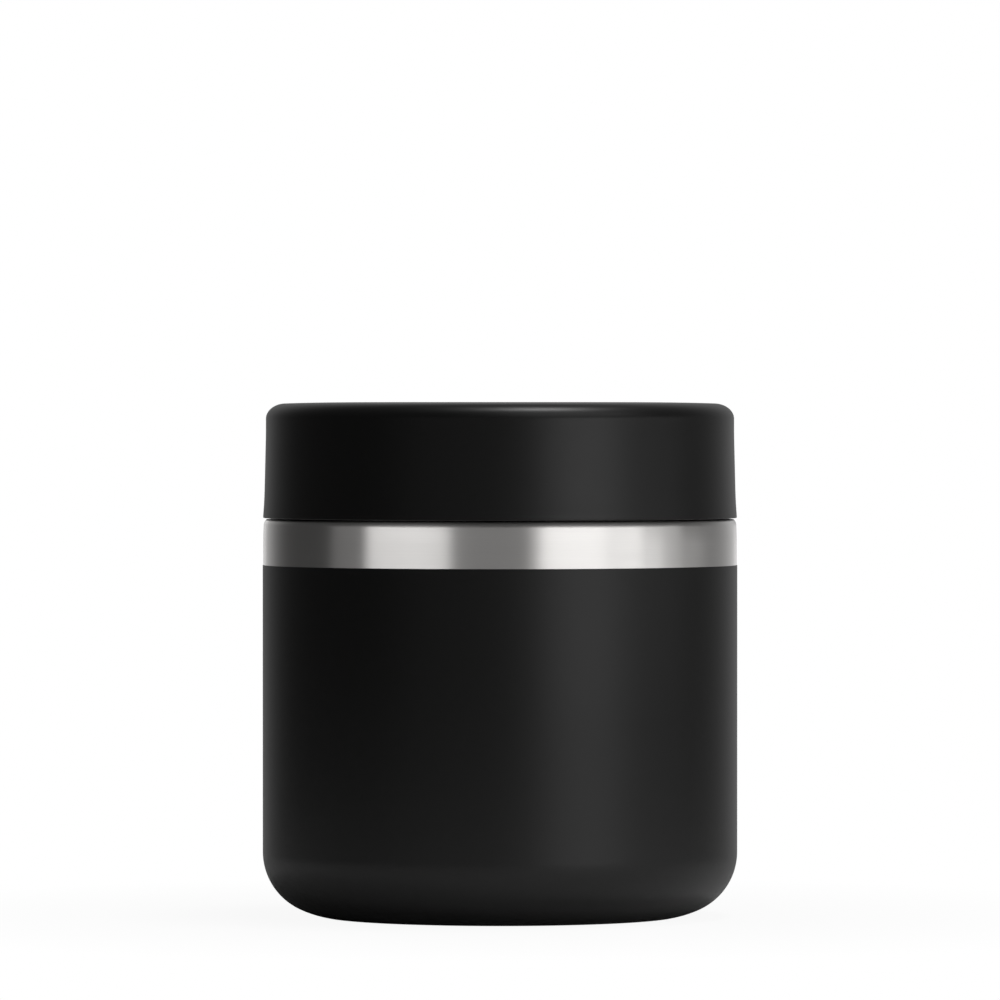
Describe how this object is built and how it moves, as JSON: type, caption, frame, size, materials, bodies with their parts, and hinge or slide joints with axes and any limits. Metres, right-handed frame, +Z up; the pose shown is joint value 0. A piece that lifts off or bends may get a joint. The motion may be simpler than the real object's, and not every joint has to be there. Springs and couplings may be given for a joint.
{
  "type": "insulated food jar",
  "caption": "Wide-mouth vacuum food jar: a double-walled steel cup with a powder-coated body, a bare steel band and a screw-on insulated lid with a sealing ring.",
  "frame": {"origin": "centre of the ring the jar stands on", "axes": "+Z up along the jar's axis; the jar is round, so X and Y are free, and the thread starts on +X"},
  "size_m": [0.096, 0.096, 0.104],
  "materials": {
    "steel_shell": "satin",
    "steel_disc": "satin",
    "steel_liner": "satin",
    "black_coat": "matte",
    "solder_glass": "gloss",
    "getter_metal": "matte",
    "foil": "satin",
    "black_lid": "satin",
    "lid_lining": "satin",
    "foam": "matte",
    "silicone": "matte"
  },
  "bodies": {
    "vessel": {"outer_shell": "steel_shell", "base_pan": "steel_shell", "powder_coat": "black_coat", "base_disc": "steel_disc", "inner_liner": "steel_liner", "vacuum_seal": "solder_glass", "getter_holder": "steel_liner", "getter_pellet": "getter_metal", "foil_wrap": "foil", "foil_disc": "foil"},
    "lid_seal": {"lid_gasket": "silicone"},
    "lid": {"lid_cap": "black_lid", "lid_liner": "lid_lining", "lid_foam": "foam"}
  },
  "joints": [
    {"name": "lid_lift", "type": "slide", "parent": "vessel", "child": "lid_seal", "axis": [0, 0, 1], "range_m": [0, 0.024]},
    {"name": "lid_turn", "type": "hinge", "parent": "lid_seal", "child": "lid", "pos_m": [0, 0, 0.09], "axis": [0, 0, 1], "range_deg": [0, 720]}
  ],
  "couplings": [
    {"joint": "lid_lift", "follows": "lid_turn", "m_per_rad": 0.0019099}
  ]
}
